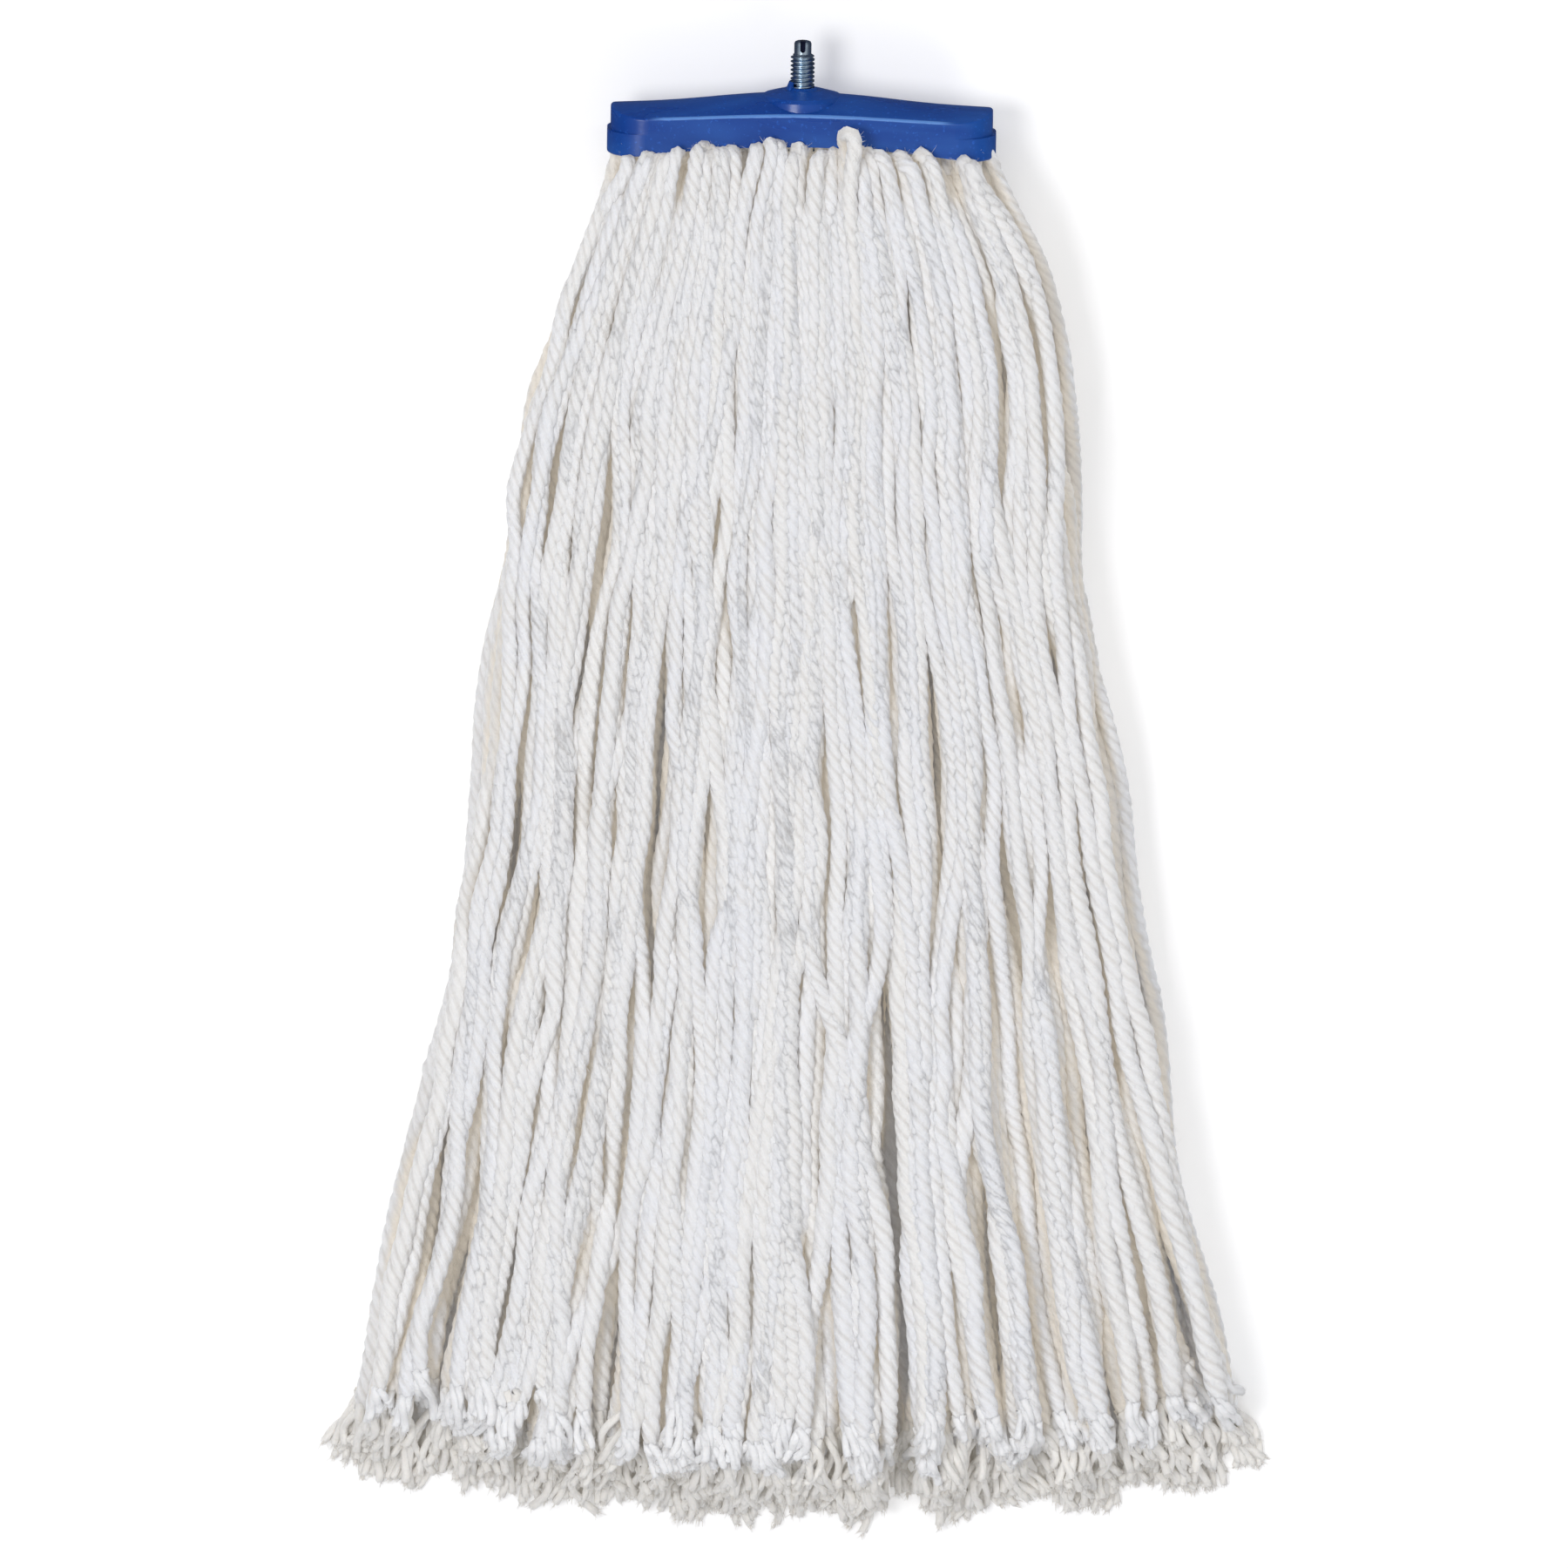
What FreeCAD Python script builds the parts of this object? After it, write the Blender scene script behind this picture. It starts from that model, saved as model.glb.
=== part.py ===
import FreeCAD, Part
import math
import os

from FreeCAD import Rotation, Vector

# Lie-flat mop head, lying on the floor. Millimetres.
# Origin: on the stud's axis, at the hub face that the handle screws down to.
# +Y runs out along the stud, the yarn runs towards -Y, +Z is up from the floor.

doc = FreeCAD.newDocument("mop_head")

# ---------------------------------------------------------------- driving dimensions
SIZES = {
    # headband: a shallow moulded channel, open towards the yarn
    "upper_width": 125.0,
    "upper_depth": 30.0,
    "corner_radius": 12.5,
    "skirt_out": 1.1,
    "skirt_top": -13.4,
    "rim_level": -21.1,
    "mouth_rise": 4.4,
    "rim_fillet": 0.8,
    "wall": 2.4,
    "roof_inside": -10.8,
    "edge_fillet": 0.9,
    "hub_base_radius": 14.2,
    "hub_top_radius": 6.6,
    "collar_top_radius": 4.3,
    "collar_height": 0.7,
    "gusset_reach": 5.4,
    "gusset_height": 2.6,
    # stud: 5/16-18 UNC with a grooved dog tip
    "thread_radius": 3.94,
    "thread_pitch": 1.411,
    "thread_depth": 0.80,
    "thread_top": 11.8,
    "dog_radius": 2.82,
    "stud_tip": 16.0,
    "slot_width": 1.7,
    "slot_floor": 13.3,
    "slot_bottom": 1.2,
    "bore_radius": 4.0,
    "hex_flats": 12.7,
    "hex_top": -5.5,
    "hex_thickness": 3.5,
    "stud_end": -26.6,
    # clamp bar and its fasteners
    "bar_half_length": 53.0,
    "bar_half_depth": 5.2,
    "bar_top": -14.4,
    "bar_thickness": 4.8,
    "bar_pad_radius": 9.4,
    "foot_reach": 59.2,
    "foot_half_depth": 6.0,
    "foot_bottom": -22.6,
    "tooth_pitch": 6.0,
    "tooth_width": 3.0,
    "tooth_depth": 1.2,
    "washer_radius": 8.6,
    "washer_hole_radius": 4.2,
    "washer_thickness": 1.2,
    "nut_thickness": 4.8,
    "nut_hole_radius": 3.99,
    "post_spacing": 38.0,
    "post_radius": 4.0,
    "screw_radius": 1.45,
    "screw_head_radius": 3.4,
    "screw_head": 2.0,
    "screw_top": -10.0,
    # yarn
    "fold_half_length": 52.0,
    "fold_half_depth": 12.0,
    "fold_top": -11.2,
    "fold_bottom": -28.6,
    "floor_level": -24.0,
    "yarn_gap": 0.3,
    "lock_chamfer": 1.6,
}

sheet = doc.addObject("Spreadsheet::Sheet", "sizes")
for row, (alias, value) in enumerate(SIZES.items(), start=1):
    sheet.set(f"A{row}", alias)
    sheet.set(f"B{row}", str(value))
    sheet.setAlias(f"B{row}", alias)
doc.recompute()


def size(alias):
    """The value of one driving dimension, read back from the sheet."""
    return float(sheet.get(alias))


def cell(expression):
    """An expression over the sheet's aliases, for setExpression."""
    for alias in sorted(SIZES, key=len, reverse=True):
        expression = expression.replace(f"<{alias}>", f"sizes.{alias}")
    return expression


# ---------------------------------------------------------------- helpers
def new_body(name):
    body = doc.addObject("PartDesign::Body", name)
    body.Label = name
    return body


# On an XZ_Plane sketch, sketch x is +X, sketch y is +Z and the normal is -Y, so an
# offset is minus the level in Y, and a pad with back set grows towards +Y.
def new_sketch(body, name, role, offset=0.0):
    """A sketch on one of the body's own origin planes, moved along the plane's normal."""
    sketch = body.newObject("Sketcher::SketchObject", name)
    plane = next(f for f in body.Origin.OriginFeatures if f.Role == role)
    sketch.AttachmentSupport = [(plane, "")]
    sketch.MapMode = "FlatFace"
    sketch.AttachmentOffset = FreeCAD.Placement(Vector(0, 0, offset), Rotation())
    return sketch


def axis_of(body, role):
    return next(f for f in body.Origin.OriginFeatures if f.Role == role)


def polygon(sketch, points):
    """A closed outline of straight edges through (x, y) points."""
    corners = [Vector(x, y, 0) for x, y in points]
    for a, b in zip(corners, corners[1:] + corners[:1]):
        sketch.addGeometry(Part.LineSegment(a, b), False)


def circle(sketch, x, y, radius):
    sketch.addGeometry(Part.Circle(Vector(x, y, 0), Vector(0, 0, 1), radius), False)


def rounded_box(sketch, half_x, half_y, radius):
    """A rounded rectangle round the sketch's origin."""
    x, y = half_x - radius, half_y - radius
    edge_pairs = (
        ((-x, -half_y), (x, -half_y)),
        ((half_x, -y), (half_x, y)),
        ((x, half_y), (-x, half_y)),
        ((-half_x, y), (-half_x, -y)),
    )
    for a, b in edge_pairs:
        sketch.addGeometry(Part.LineSegment(Vector(*a, 0), Vector(*b, 0)), False)
    quarter = math.pi / 2
    for k, (cx, cy) in enumerate(((x, -y), (x, y), (-x, y), (-x, -y))):
        arc_circle = Part.Circle(Vector(cx, cy, 0), Vector(0, 0, 1), radius)
        start = (k - 1) * quarter
        sketch.addGeometry(Part.ArcOfCircle(arc_circle, start, start + quarter), False)


def hexagon(sketch, flats):
    reach = flats / math.sqrt(3)
    angles = [math.radians(60 * k) for k in range(6)]
    polygon(sketch, [(reach * math.cos(a), reach * math.sin(a)) for a in angles])


def pad(body, sketch, expression, back=False):
    """Pads the sketch along its normal, or against it when back is set."""
    feature = body.newObject("PartDesign::Pad", f"{sketch.Name}_pad")
    feature.Profile = sketch
    feature.setExpression("Length", cell(expression))
    feature.Reversed = back
    doc.recompute()
    return feature


def pocket(body, sketch, expression=None, back=False):
    """Cuts the sketch to a depth, or right through both ways when there is no depth."""
    before = body.Shape.Volume
    feature = body.newObject("PartDesign::Pocket", f"{sketch.Name}_pocket")
    feature.Profile = sketch
    if expression is None:
        feature.Type = "ThroughAll"
        feature.Midplane = True
    else:
        feature.setExpression("Length", cell(expression))
        feature.Reversed = back
    doc.recompute()
    if not body.Shape.Volume < before - 1e-3:
        raise RuntimeError(f"{feature.Name} cuts nothing")
    return feature


def revolve(body, sketch, role="Y_Axis"):
    feature = body.newObject("PartDesign::Revolution", f"{sketch.Name}_turned")
    feature.Profile = sketch
    feature.ReferenceAxis = (axis_of(body, role), [""])
    feature.Angle = 360
    doc.recompute()
    return feature


def named_edges(shape, wanted):
    """Names of the edges that the test wanted(edge, middle) picks."""
    names = []
    for k, edge in enumerate(shape.Edges, start=1):
        middle = edge.valueAt((edge.FirstParameter + edge.LastParameter) / 2)
        if wanted(edge, middle):
            names.append(f"Edge{k}")
    return names


def dress(body, kind, name, edge_names, expression):
    """A Fillet or a Chamfer on the named edges of the body's tip."""
    base = body.Tip
    feature = body.newObject(f"PartDesign::{kind}", name)
    feature.Base = (base, edge_names)
    feature.setExpression("Radius" if kind == "Fillet" else "Size", cell(expression))
    doc.recompute()
    if not feature.isValid():
        raise RuntimeError(f"{name} failed")
    return feature


# ---------------------------------------------------------------- headband channel
def crown_section(body, name, x, edge_level, ridge_level):
    """One cross-section of the headband: straight walls under an arched roof."""
    sketch = new_sketch(body, name, "YZ_Plane", x)
    depth = size("upper_depth") / 2
    low = size("rim_level")
    outline = [(edge_level, -depth), (low, -depth), (low, depth), (edge_level, depth)]
    corners = [Vector(a, b, 0) for a, b in outline]
    for a, b in zip(corners, corners[1:]):
        sketch.addGeometry(Part.LineSegment(a, b), False)
    sketch.addGeometry(Part.Arc(corners[3], Vector(ridge_level, 0, 0), corners[0]), False)
    return sketch


def make_crown(body):
    """The outer block: a roof that swells towards the hub, over a rounded plan form."""
    half, depth = size("upper_width") / 2, size("upper_depth") / 2
    # share of the half width, level of the roof's long edges, level of its ridge
    crown = ((0.0, -6.6, -1.3), (0.26, -6.9, -1.9), (0.48, -7.4, -3.3),
             (0.72, -8.0, -4.8), (1.0, -8.6, -5.8))
    stations = [(-s, e, r) for s, e, r in reversed(crown[1:])] + list(crown)
    sections = [
        crown_section(body, f"crown_{k}", share * half, edge, ridge)
        for k, (share, edge, ridge) in enumerate(stations)
    ]
    loft = body.newObject("PartDesign::AdditiveLoft", "crown_loft")
    loft.Profile = sections[0]
    loft.Sections = sections[1:]
    loft.Ruled = False
    doc.recompute()

    plan = new_sketch(body, "plan_form", "XZ_Plane")
    reach = half + 10
    polygon(plan, [(-reach, -reach), (reach, -reach), (reach, reach), (-reach, reach)])
    rounded_box(plan, half, depth, size("corner_radius"))
    pocket(body, plan)
    roof_edge_low = min(edge for _, edge, _ in crown) - 0.5
    rim = named_edges(body.Shape, lambda edge, middle: edge.BoundBox.YMin > roof_edge_low)
    dress(body, "Fillet", "roof_rounding", rim, "<edge_fillet>")


def make_skirt(body):
    """The lower part of the wall steps out at both ends, and is flush front and back."""
    half, depth = size("upper_width") / 2, size("upper_depth") / 2
    out, corner = size("skirt_out"), size("corner_radius")
    skirt = new_sketch(body, "skirt", "XZ_Plane", -size("rim_level"))
    rounded_box(skirt, half + out, depth, corner)
    pad(body, skirt, "<skirt_top> - <rim_level>", back=True)

    def on_rim(edge, middle):
        level = size("rim_level")
        return abs(edge.BoundBox.YMin - level) + abs(edge.BoundBox.YMax - level) < 1e-4

    dress(body, "Fillet", "rim_rounding", named_edges(body.Shape, on_rim), "<rim_fillet>")


def make_hub(body):
    """A drum under a low cone, with a collar round the stud and a gusset on its left."""
    hub = new_sketch(body, "hub", "XY_Plane")
    base, top = size("hub_base_radius"), size("hub_top_radius")
    low = size("roof_inside") + 2
    cone = [(0, low), (base, low), (base - 0.8, -2.9), (base - 1.7, -1.7), (top, 0), (0, 0)]
    polygon(hub, cone)
    revolve(body, hub)
    collar = new_sketch(body, "collar", "XY_Plane")
    neck, height = size("collar_top_radius"), size("collar_height")
    polygon(collar, [(0, -1), (neck + 1.0, -1), (neck + 1.0, 0), (neck, height), (0, height)])
    revolve(body, collar)
    gusset = new_sketch(body, "gusset", "XY_Plane")
    reach, rise = size("gusset_reach"), size("gusset_height")
    polygon(gusset, [(-2, -1), (-reach, -1), (-reach, 0), (-neck, rise), (-2, rise)])
    wedge = revolve(body, gusset)
    wedge.Midplane = True
    wedge.Angle = 90
    doc.recompute()


def hollow_channel(body):
    """The mouth's arch, the trough for the yarn, the screw posts and the stud's seat."""
    half, depth = size("upper_width") / 2, size("upper_depth") / 2
    mouth = new_sketch(body, "mouth_arch", "XY_Plane")
    rise, span = size("mouth_rise"), half - 6
    radius = (span**2 + rise**2) / (2 * rise)
    circle(mouth, 0, size("rim_level") + rise - radius, radius)
    pocket(body, mouth)

    trough = new_sketch(body, "trough", "XZ_Plane", -size("rim_level"))
    wall = size("wall")
    rounded_box(trough, half - wall, depth - wall, size("corner_radius") - wall)
    pocket(body, trough, "<roof_inside> - <rim_level>")

    posts = new_sketch(body, "posts", "XZ_Plane", -size("roof_inside"))
    pilots = new_sketch(body, "pilot_holes", "XZ_Plane", -size("bar_top"))
    for side in (-1, 1):
        circle(posts, side * size("post_spacing"), 0, size("post_radius"))
        circle(pilots, side * size("post_spacing"), 0, size("screw_radius") + 0.02)
    pad(body, posts, "<roof_inside> - <bar_top> - 0.1")
    pocket(body, pilots, "<screw_top> - <bar_top> + 0.4")

    hex_pocket = new_sketch(body, "hex_pocket", "XZ_Plane", -size("roof_inside"))
    hexagon(hex_pocket, size("hex_flats") + 0.2)
    pocket(body, hex_pocket, "<hex_top> - <roof_inside>")
    bore = new_sketch(body, "bore", "XZ_Plane")
    circle(bore, 0, 0, size("bore_radius"))
    pocket(body, bore)


def make_channel():
    body = new_body("headband_channel")
    make_crown(body)
    make_skirt(body)
    make_hub(body)
    hollow_channel(body)
    return body


# ---------------------------------------------------------------- stud
def make_stud():
    body = new_body("handle_stud")
    turned = new_sketch(body, "turned", "XY_Plane")
    dog, thread = size("dog_radius"), size("thread_radius")
    tip, top, low = size("stud_tip"), size("thread_top"), size("stud_end")
    round_off, lead = 0.8, size("thread_depth")
    polygon(turned, [
        (0, low), (thread - lead, low), (thread, low + lead), (thread, top - lead),
        (dog, top), (dog, tip - round_off), (dog - 0.25, tip - 0.25),
        (dog - round_off, tip), (0, tip),
    ])
    revolve(body, turned)

    collar = new_sketch(body, "hex_collar", "XZ_Plane", -size("hex_top"))
    hexagon(collar, size("hex_flats"))
    pad(body, collar, "<hex_thickness>")

    # the thread: a V groove along a helix, from the hub up into the lead chamfer
    groove = new_sketch(body, "thread_groove", "XY_Plane")
    pitch, depth = size("thread_pitch"), size("thread_depth")
    start = size("collar_height") - 2 * pitch
    outside = thread + 0.15
    half_mouth = pitch * 0.44
    half_root = pitch * 0.09
    polygon(groove, [
        (outside, start - half_mouth), (thread - depth, start - half_root),
        (thread - depth, start + half_root), (outside, start + half_mouth),
    ])
    helix = body.newObject("PartDesign::SubtractiveHelix", "thread_helix")
    helix.Profile = groove
    helix.ReferenceAxis = (axis_of(body, "Y_Axis"), [""])
    helix.Mode = 0
    helix.Pitch = pitch
    helix.Height = size("thread_top") + pitch - start
    doc.recompute()

    # a blind groove down one side of the dog tip, with a round end
    half_slot, floor = size("slot_width") / 2, size("slot_floor")
    slot = new_sketch(body, "tip_groove", "XY_Plane", size("slot_bottom"))
    low_left, low_right = Vector(-half_slot, floor, 0), Vector(half_slot, floor, 0)
    top_left, top_right = Vector(-half_slot, tip + 1, 0), Vector(half_slot, tip + 1, 0)
    for a, b in ((low_right, top_right), (top_right, top_left), (top_left, low_left)):
        slot.addGeometry(Part.LineSegment(a, b), False)
    slot.addGeometry(Part.Arc(low_left, Vector(0, floor - half_slot, 0), low_right), False)
    pocket(body, slot, "<dog_radius>", back=True)
    return body


# ---------------------------------------------------------------- clamp bar and fasteners
TEETH = 4  # on each side of the bar's round pad


def make_clamp_bar():
    body = new_body("clamp_bar")
    level = -size("bar_top")
    strip = new_sketch(body, "strip", "XZ_Plane", level)
    half_depth = size("bar_half_depth")
    rounded_box(strip, size("bar_half_length") + 3, half_depth, 1.0)
    pad(body, strip, "<bar_thickness>")
    round_pad = new_sketch(body, "round_pad", "XZ_Plane", level)
    circle(round_pad, 0, 0, size("bar_pad_radius"))
    pad(body, round_pad, "<bar_thickness>")
    feet = new_sketch(body, "feet", "XZ_Plane", level)
    near, far = size("bar_half_length") + 1.0, size("foot_reach")
    for side in (-1, 1):
        reach = size("foot_half_depth")
        inner, outer = sorted((side * near, side * far))
        polygon(feet, [(inner, -reach), (outer, -reach), (outer, reach), (inner, reach)])
    pad(body, feet, "<bar_top> - <foot_bottom>")

    holes = new_sketch(body, "bar_holes", "XZ_Plane", level)
    circle(holes, 0, 0, size("bore_radius") + 0.1)
    for side in (-1, 1):
        circle(holes, side * size("post_spacing"), 0, size("screw_radius") + 0.25)
    pocket(body, holes)

    # teeth: a V groove across the bar's upper face, repeated along each half
    top, pitch = size("bar_top"), size("tooth_pitch")
    half_width, depth = size("tooth_width") / 2, size("tooth_depth")
    first = size("bar_pad_radius") + half_width + 1.1
    for hand, side in ((1, "right"), (-1, "left")):
        groove = new_sketch(body, f"tooth_gap_{side}", "XY_Plane")
        middle = hand * first
        polygon(groove, [(middle - half_width, top + 0.1), (middle, top - depth),
                         (middle + half_width, top + 0.1)])
        gap = pocket(body, groove)
        pattern = body.newObject("PartDesign::LinearPattern", f"teeth_{side}")
        pattern.Originals = [gap]
        pattern.Direction = (axis_of(body, "X_Axis"), [""])
        pattern.Reversed = hand < 0
        pattern.Length = (TEETH - 1) * pitch
        pattern.Occurrences = TEETH
        body.Tip = pattern
        doc.recompute()
    return body


def washer_top():
    return size("bar_top") - size("bar_thickness")


def make_washer():
    body = new_body("clamp_washer")
    ring = new_sketch(body, "ring", "XZ_Plane", -washer_top())
    circle(ring, 0, 0, size("washer_radius"))
    circle(ring, 0, 0, size("washer_hole_radius"))
    pad(body, ring, "<washer_thickness>")
    return body


def make_nut():
    body = new_body("clamp_nut")
    top = washer_top() - size("washer_thickness")
    outline = new_sketch(body, "nut_outline", "XZ_Plane", -top)
    hexagon(outline, size("hex_flats"))
    circle(outline, 0, 0, size("nut_hole_radius"))
    pad(body, outline, "<nut_thickness>")

    # the lower corners are turned off, as on any hex nut
    corners = new_sketch(body, "corner_turning", "XY_Plane")
    low = top - size("nut_thickness")
    flat, corner = size("hex_flats") / 2, size("hex_flats") / math.sqrt(3)
    polygon(corners, [(flat, low - 0.2), (corner + 1, low - 0.2), (corner + 1, low + 1.1)])
    groove = body.newObject("PartDesign::Groove", "corner_groove")
    groove.Profile = corners
    groove.ReferenceAxis = (axis_of(body, "Y_Axis"), [""])
    groove.Angle = 360
    doc.recompute()
    return body


def make_clamp_screws():
    """Two pan-head screws, driven from the mouth side, as one group of separate solids."""
    head, shank = size("screw_head_radius"), size("screw_radius")
    under, thick, top = washer_top(), size("screw_head"), size("screw_top")
    outline = [
        (0, under - thick), (head - 1.2, under - thick), (head, under - thick + 0.9),
        (head, under), (shank, under), (shank, top - 1.2), (0.2, top), (0, top),
    ]
    corners = [Vector(x, y, 0) for x, y in outline]
    wire = Part.makePolygon(corners + corners[:1])
    screw = Part.Face(wire).revolve(Vector(), Vector(0, 1, 0), 360)
    cross = Part.makeBox(0.9, 1.1, 4.0, Vector(-0.45, under - thick - 0.1, -2.0))
    screw = screw.cut(cross).cut(cross.rotated(Vector(), Vector(0, 1, 0), 90))
    places = [Vector(side * size("post_spacing"), 0, 0) for side in (-1, 1)]
    group = doc.addObject("Part::Feature", "clamp_screws")
    group.Shape = Part.makeCompound([screw.translated(place) for place in places])
    return group


# ---------------------------------------------------------------- yarn
def make_yarn_fold():
    """All the yarns where they fold over the clamp bar: a saddle with a hole for the stud."""
    body = new_body("yarn_fold")
    block = new_sketch(body, "fold_block", "XZ_Plane", -size("fold_top"))
    rounded_box(block, size("fold_half_length"), size("fold_half_depth"), 6.0)
    pad(body, block, "<fold_top> - <fold_bottom>")
    saddle = new_sketch(body, "saddle", "YZ_Plane")
    side, top = size("bar_half_depth") + 0.4, size("bar_top") + 0.1
    low = size("fold_bottom") - 1
    polygon(saddle, [(low, -side), (top, -side), (top, side), (low, side)])
    pocket(body, saddle)
    reliefs = new_sketch(body, "reliefs", "XZ_Plane")
    circle(reliefs, 0, 0, size("bar_pad_radius") + 0.5)
    for hand in (-1, 1):
        circle(reliefs, hand * size("post_spacing"), 0, size("post_radius") + 0.5)
    pocket(body, reliefs)
    return body


# The pile of yarn, station by station along its length: level in Y, half width, top level.
# It rests on the floor, is thickest just past the mouth and thinnest at the cut ends.
PILE = (
    (-29.2, 62.0, 19.0),
    (-60.0, 77.0, 22.5),
    (-120.0, 88.5, 20.0),
    (-210.0, 102.0, 15.5),
    (-330.0, 122.0, 9.5),
    (-485.0, 153.0, 1.5),
)

# name, locks across, lower and upper share of the pile's height, end level in the middle
LAYERS = (
    ("bottom_lock", 10, 0.00, 0.28, -485.0),
    ("lower_lock", 9, 0.28, 0.50, -480.0),
    ("upper_lock", 8, 0.50, 0.70, -472.0),
    ("top_lock", 11, 0.70, 1.00, -465.0),
)
SIDE_DROP = 0.42  # how much thinner the pile is at its sides than in the middle
SIDE_SHORTER = 16.0  # how much sooner the outermost yarns end
END_STAGGER = 5.0  # neighbouring locks end this much apart


def pile_at(level):
    """Half width, lowest and highest level of the pile at one level of Y."""
    for (y0, w0, t0), (y1, w1, t1) in zip(PILE, PILE[1:]):
        if level >= y1 or y1 == PILE[-1][0]:
            share = (y0 - level) / (y0 - y1)
            width, top = w0 + (w1 - w0) * share, t0 + (t1 - t0) * share
            break
    first_floor = min(1.0, (PILE[0][0] - level) / (PILE[0][0] - PILE[1][0]))
    mouth_bottom = -PILE[0][2] + 1.0
    bottom = mouth_bottom + (size("floor_level") - mouth_bottom) * first_floor
    return width, bottom, top


def lock_section(level, u_range, share_range):
    """A chamfered four-sided section of one lock, between its neighbours' shared borders."""
    width, bottom, top = pile_at(level)
    gap, cut = size("yarn_gap"), size("lock_chamfer")

    def corner(u, share, du, dshare):
        height = (top - bottom) * (1 - SIDE_DROP * u * u)
        return Vector(u * width + du * gap, level, bottom + share * height + dshare * gap)

    (u0, u1), (s0, s1) = u_range, share_range
    lift = 0 if s0 == 0 else 1
    quad = [corner(u0, s0, 1, lift), corner(u1, s0, -1, lift),
            corner(u1, s1, -1, -1), corner(u0, s1, 1, -1)]
    points = []
    for k, point in enumerate(quad):
        before, after = quad[k - 1], quad[(k + 1) % 4]
        for other in (before, after):
            reach = min(cut, 0.3 * (other - point).Length)
            points.append(point + (other - point).normalize() * reach)
    return Part.makePolygon(points + points[:1])


def make_lock(name, index, count, low, high, end):
    u_range = (2 * index / count - 1, 2 * (index + 1) / count - 1)
    middle = sum(u_range) / 2
    end_level = end + SIDE_SHORTER * middle * middle + END_STAGGER * (-1) ** index / 2
    levels = [y for y, _, _ in PILE[:-1]] + [end_level]
    sections = [lock_section(y, u_range, (low, high)) for y in levels]
    lock = doc.addObject("Part::Feature", f"{name}_{index + 1}")
    lock.Shape = Part.makeLoft(sections, True, True)
    return lock


def make_locks():
    return [
        make_lock(name, index, count, low, high, end)
        for name, count, low, high, end in LAYERS
        for index in range(count)
    ]


# ---------------------------------------------------------------- build, check, export
parts = [
    make_channel(),
    make_stud(),
    make_clamp_bar(),
    make_washer(),
    make_nut(),
    make_clamp_screws(),
    make_yarn_fold(),
    *make_locks(),
]
for part in parts:
    part.Placement = FreeCAD.Placement(Vector(), Rotation())
doc.recompute()

broken = [o.Name for o in doc.Objects if {"Invalid", "Error"} & set(o.State)]
if broken:
    raise RuntimeError(f"failed objects: {broken}")
for part in parts:
    if part.Shape.isNull() or not part.Shape.isValid() or part.Shape.Volume <= 0:
        raise RuntimeError(f"{part.Label} has no valid solid")

os.makedirs("parts", exist_ok=True)
for part in parts:
    part.Shape.exportStep(f"parts/{part.Label}.step")
print(f"{len(parts)} parts written")
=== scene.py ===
"""A lie-flat string mop head: moulded headband, threaded stud and some 300 twisted cut-end yarns.

Lengths are in millimetres until a mesh is made. X runs along the headband, Y out along the
stud, so the yarn runs towards -Y, and Z is up from the floor that the head lies on.
"""

import math

import bpy
import numpy as np
from mathutils import Matrix, Vector


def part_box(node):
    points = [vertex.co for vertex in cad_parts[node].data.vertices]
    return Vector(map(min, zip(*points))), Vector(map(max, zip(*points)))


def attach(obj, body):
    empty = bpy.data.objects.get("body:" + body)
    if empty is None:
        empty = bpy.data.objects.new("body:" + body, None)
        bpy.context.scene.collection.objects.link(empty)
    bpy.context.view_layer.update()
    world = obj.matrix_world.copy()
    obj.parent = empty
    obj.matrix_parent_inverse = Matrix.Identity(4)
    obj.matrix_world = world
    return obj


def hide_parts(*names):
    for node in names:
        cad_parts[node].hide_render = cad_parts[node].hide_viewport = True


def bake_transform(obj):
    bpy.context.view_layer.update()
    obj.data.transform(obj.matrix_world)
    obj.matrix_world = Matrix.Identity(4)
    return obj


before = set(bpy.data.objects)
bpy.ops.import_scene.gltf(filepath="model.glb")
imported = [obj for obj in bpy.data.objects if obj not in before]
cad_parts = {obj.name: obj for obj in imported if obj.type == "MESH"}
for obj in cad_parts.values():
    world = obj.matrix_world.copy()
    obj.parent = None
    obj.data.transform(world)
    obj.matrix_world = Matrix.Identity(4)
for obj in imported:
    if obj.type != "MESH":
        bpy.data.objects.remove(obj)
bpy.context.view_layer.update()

MM = 0.001
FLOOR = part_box("bottom_lock_5")[0][2] / MM

rng = np.random.default_rng(20240)


def smooth(t):
    """0 below 0, 1 above 1, and an even S between."""
    t = np.clip(t, 0.0, 1.0)
    return t * t * (3 - 2 * t)


def unit(v):
    return v / np.maximum(np.linalg.norm(v, axis=-1, keepdims=True), 1e-9)


# ---------------------------------------------------------------- camera
FRAME_WIDTH = 514.9  # mm seen across the picture at the headband
CAMERA_DISTANCE = 10000.0
CAMERA_TILT = math.radians(11.5)  # from straight down, towards the stud's end
CAMERA_ROLL = math.radians(0.85)
PICTURE_CENTRE = Vector((-2.6, -231.9, 0.0))


def make_camera():
    data = bpy.data.cameras.new("camera")
    data.sensor_width = 36.0
    data.lens = data.sensor_width * CAMERA_DISTANCE / FRAME_WIDTH
    data.clip_end = 50.0
    camera = bpy.data.objects.new("camera", data)
    bpy.context.scene.collection.objects.link(camera)
    away = Vector((0, math.sin(CAMERA_TILT), math.cos(CAMERA_TILT)))
    right = Vector((1, 0, 0))
    turn = Matrix((right, away.cross(right), away)).transposed().to_4x4()
    place = Matrix.Translation((PICTURE_CENTRE + away * CAMERA_DISTANCE) * MM)
    camera.matrix_world = place @ turn @ Matrix.Rotation(CAMERA_ROLL, 4, "Z")
    bpy.context.scene.camera = camera


make_camera()

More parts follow.
